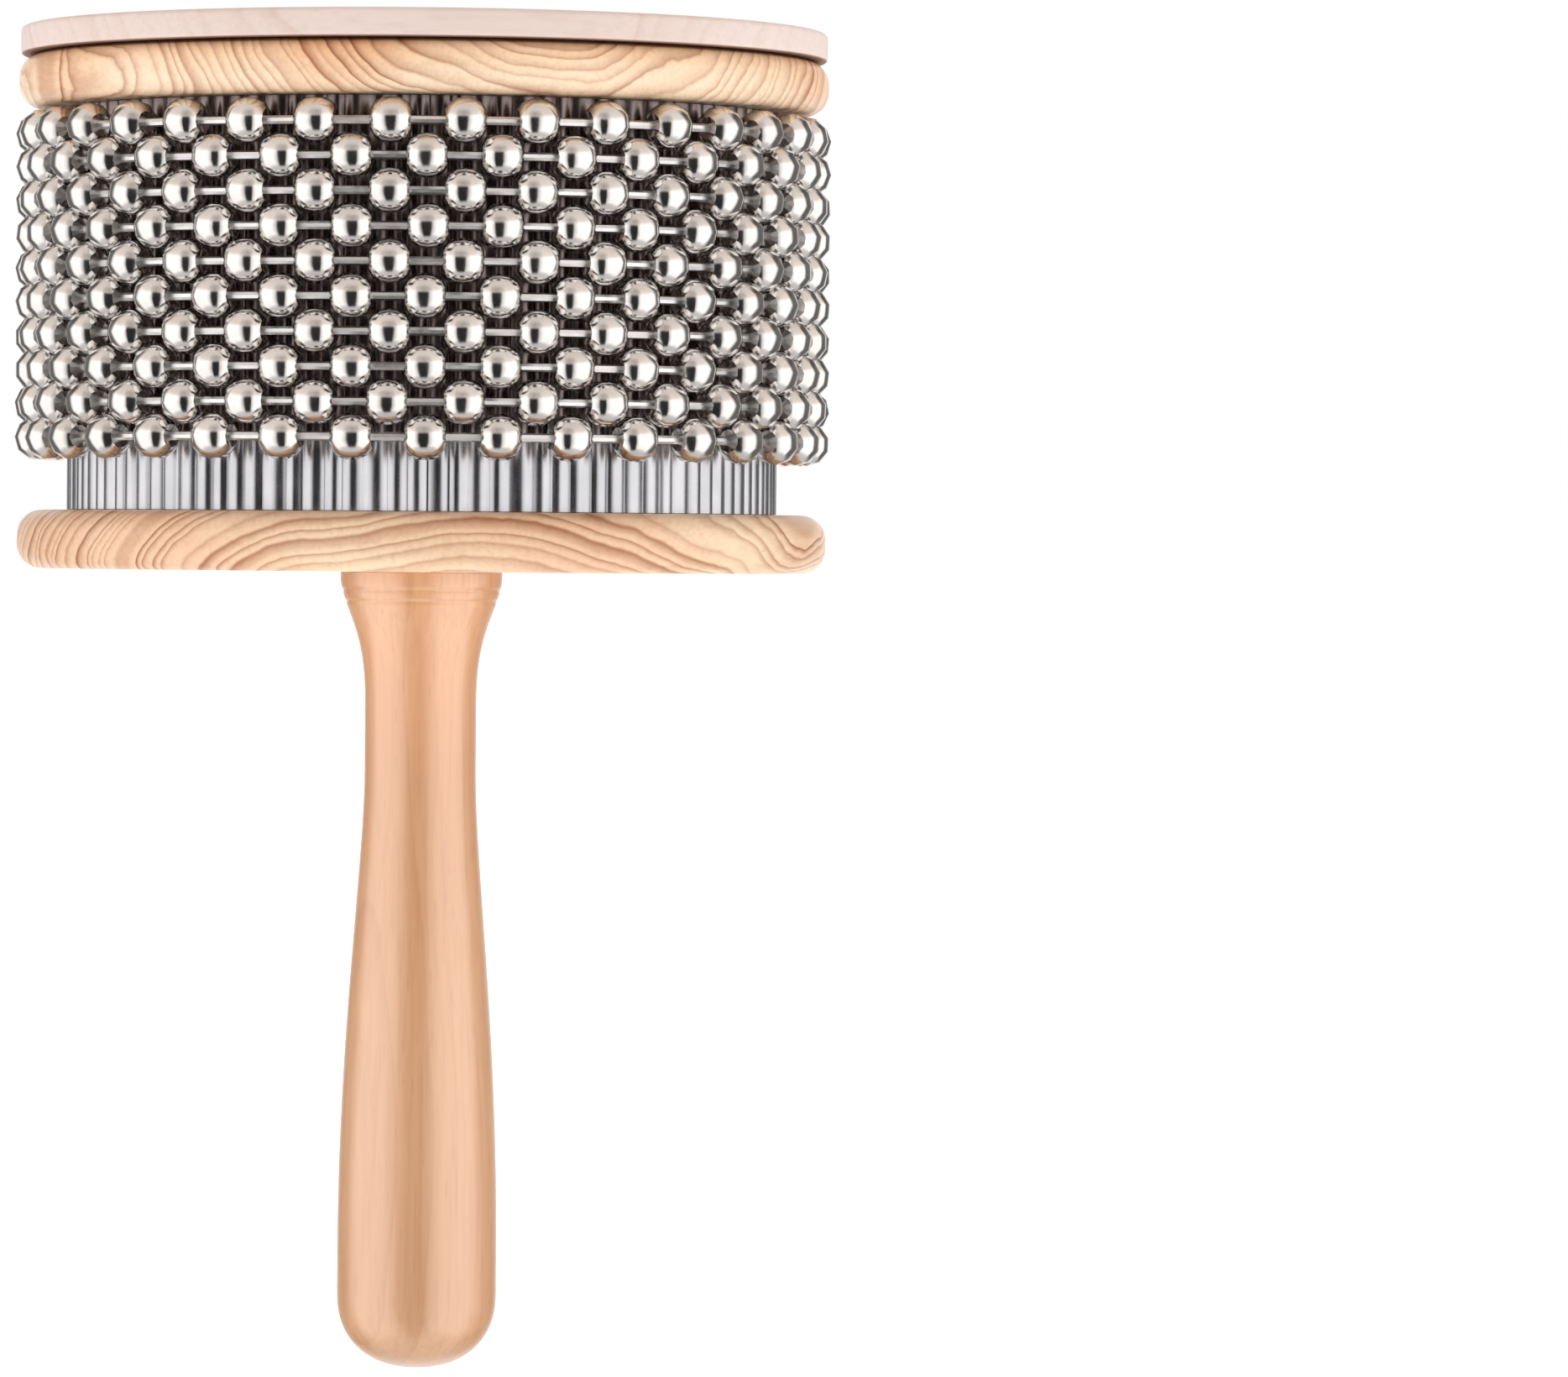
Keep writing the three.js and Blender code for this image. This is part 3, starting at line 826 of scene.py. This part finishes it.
# studio
studio = {
    "floorDrop": 0.4 * mm,
    "floorSize": 80.0,
    "floorPoints": 9,
    "floorRough": 0.9,
    "floorShine": 0.1,
    "floorNear": 0.02,
    "floorFar": 0.30,
    "glowNear": 0.85,
    # brightness round the horizon, by degrees from the front towards +X
    "around": [
        (-180, 0.80), (-166, 0.70), (-148, 0.13), (-116, 0.10), (-100, 0.94), (-46, 0.98), (-34, 0.70),
        (0, 0.5), (26, 0.70), (38, 1.0), (93, 0.99), (109, 0.10), (148, 0.12), (166, 0.68), (180, 0.80),
    ],
    # the same for dull surfaces, which see softer screens
    "aroundSoft": [
        (-180, 0.95), (-110, 1.05), (-75, 1.25), (-35, 0.56), (0, 0.32), (35, 0.56), (75, 1.25),
        (110, 1.05), (180, 0.95),
    ],
    # brightness up the walls, by height: -1 underfoot, 0 level, 1 overhead
    "upright": [(-1.0, 0.42), (-0.84, 0.50), (-0.70, 0.90), (0.30, 1.0), (0.52, 0.66), (1.0, 0.52)],
    "poles": (0.62, 0.95),
    "slotEdges": (-33, -20, 13, 24),
    "slotTop": (0.22, 0.50),
    "slotFoot": (-0.95, -0.78),
    "slotTone": 0.02,
    "topTint": (1.0, 0.93, 0.87),
    "tint": (1.0, 0.975, 0.962),
    "strength": 1.5,
    "glossyStrength": 1.58,
    "floorGlow": 1.35,
}


def makeFloor(s):
    u = np.linspace(-1, 1, s["floorPoints"]) * s["floorSize"] / 2
    x, y = np.meshgrid(u, u)
    z = np.full_like(x, cadBox[0][2] - s["floorDrop"])
    floor = gridMesh("studio_floor", np.stack([x, y, z], -1))
    material, tree, shader = newMaterial("paleFloor")
    place = node(tree, "TexCoord").outputs["Object"]
    cloud = node(tree, "TexNoise", {"Vector": place, "Scale": 3.0}).outputs["Fac"]
    tone = ramp(tree, cloud, [(0.3, grey(0.93)), (0.7, grey(0.95))])
    tree.links.new(tone, shader.inputs["Base Color"])
    shader.inputs["Roughness"].default_value = s["floorRough"]
    shader.inputs["Specular IOR Level"].default_value = s["floorShine"]
    # away from the middle the floor glows as white as the backdrop, so that the two meet unseen
    reach = node(tree, "VectorMath", {0: place}, operation="LENGTH").outputs["Value"]
    far = smoothStep(tree, reach, s["floorNear"], s["floorFar"], s["glowNear"], 1.0)
    glow = node(tree, "Emission", {"Color": (1, 1, 1, 1), "Strength": s["floorGlow"]})
    blend = node(tree, "MixShader", {0: far, 1: shader.outputs[0], 2: glow.outputs[0]})
    tree.links.new(blend.outputs[0], tree.nodes["Material Output"].inputs["Surface"])
    floor.data.materials.append(material)
    floor.visible_glossy = False


makeFloor(studio)


# the studio light: a bright screen to the left and to the right of the front with a dark slot between
# them, dim sides, and a white backdrop behind
world = bpy.data.worlds.new("studio")
bpy.context.scene.world = world
world.use_nodes = True
tree = world.node_tree
tree.nodes.clear()
direction = node(tree, "TexCoord").outputs["Generated"]
parts = node(tree, "SeparateXYZ", {0: direction}).outputs
turn = math2(tree, "ARCTAN2", parts["X"], math2(tree, "MULTIPLY", parts["Y"], -1.0))
degrees = math2(tree, "MULTIPLY", turn, 180 / math.pi)


def curveOf(tree, value, low, high, stops):
    # a ramp whose stops are given in the value's own units
    share = node(tree, "MapRange", {"Value": value, "From Min": low, "From Max": high}).outputs[0]
    return ramp(tree, share, [((at - low) / (high - low), grey(level)) for at, level in stops])


upright = curveOf(tree, parts["Z"], -1, 1, studio["upright"])
rays = node(tree, "LightPath").outputs
around = mix(
    tree,
    "MIX",
    rays["Is Glossy Ray"],
    curveOf(tree, degrees, -180, 180, studio["aroundSoft"]),
    curveOf(tree, degrees, -180, 180, studio["around"]),
)
pole = smoothStep(tree, math2(tree, "ABSOLUTE", parts["Z"]), *studio["poles"])
screens = mix(tree, "MIX", pole, around, grey(1.0))
lightColour = mix(tree, "MULTIPLY", 1.0, upright, screens)
slotLeft, slotLeftIn, slotRightIn, slotRight = studio["slotEdges"]
slot = math2(
    tree,
    "MULTIPLY",
    smoothStep(tree, degrees, slotLeft, slotLeftIn),
    smoothStep(tree, degrees, slotRightIn, slotRight, 1.0, 0.0),
)
slot = math2(tree, "MULTIPLY", slot, smoothStep(tree, parts["Z"], *studio["slotTop"], 1.0, 0.0))
slot = math2(tree, "MULTIPLY", slot, smoothStep(tree, parts["Z"], *studio["slotFoot"]))
slot = math2(tree, "MULTIPLY", slot, rays["Is Glossy Ray"])
lightColour = mix(tree, "MIX", slot, lightColour, grey(studio["slotTone"]))
overhead = smoothStep(tree, parts["Z"], *studio["slotTop"])
lightColour = mix(tree, "MULTIPLY", overhead, lightColour, studio["topTint"])
lightColour = mix(tree, "MULTIPLY", 1.0, lightColour, studio["tint"])
seen = node(tree, "Background", {"Color": (1, 1, 1, 1), "Strength": 1.0})
power = math2(
    tree,
    "MULTIPLY_ADD",
    rays["Is Glossy Ray"],
    studio["glossyStrength"] - studio["strength"],
    studio["strength"],
)
lit = node(tree, "Background", {"Color": lightColour, "Strength": power})
cameraRay = rays["Is Camera Ray"]
both = node(tree, "MixShader", {0: cameraRay, 1: lit.outputs[0], 2: seen.outputs[0]})
tree.links.new(both.outputs[0], node(tree, "OutputWorld").inputs["Surface"])

scene = bpy.context.scene
scene.view_settings.view_transform = "Standard"
scene.view_settings.look = "None"
scene.view_settings.exposure = 0.0

# camera
cameraSetup = {
    "place": (54.98 * mm, -1300.0 * mm, 64.8 * mm),
    "lens": 197.2,
    "sensor": 36.0,
    "farthest": 50,
    "pitchDown": 0.963,
    "roll": 0.45,
}
cameraData = bpy.data.cameras.new("camera")
cameraData.lens = cameraSetup["lens"]
cameraData.sensor_width = cameraSetup["sensor"]
cameraData.clip_end = cameraSetup["farthest"]
camera = bpy.data.objects.new("camera", cameraData)
scene.collection.objects.link(camera)
turnDown = Euler((math.radians(90 - cameraSetup["pitchDown"]), 0, 0)).to_matrix()
rollTurn = Matrix.Rotation(math.radians(cameraSetup["roll"]), 3, "Z")
camera.matrix_world = Matrix.Translation(cameraSetup["place"]) @ (turnDown @ rollTurn).to_4x4()
scene.camera = camera
print("studio and camera set")
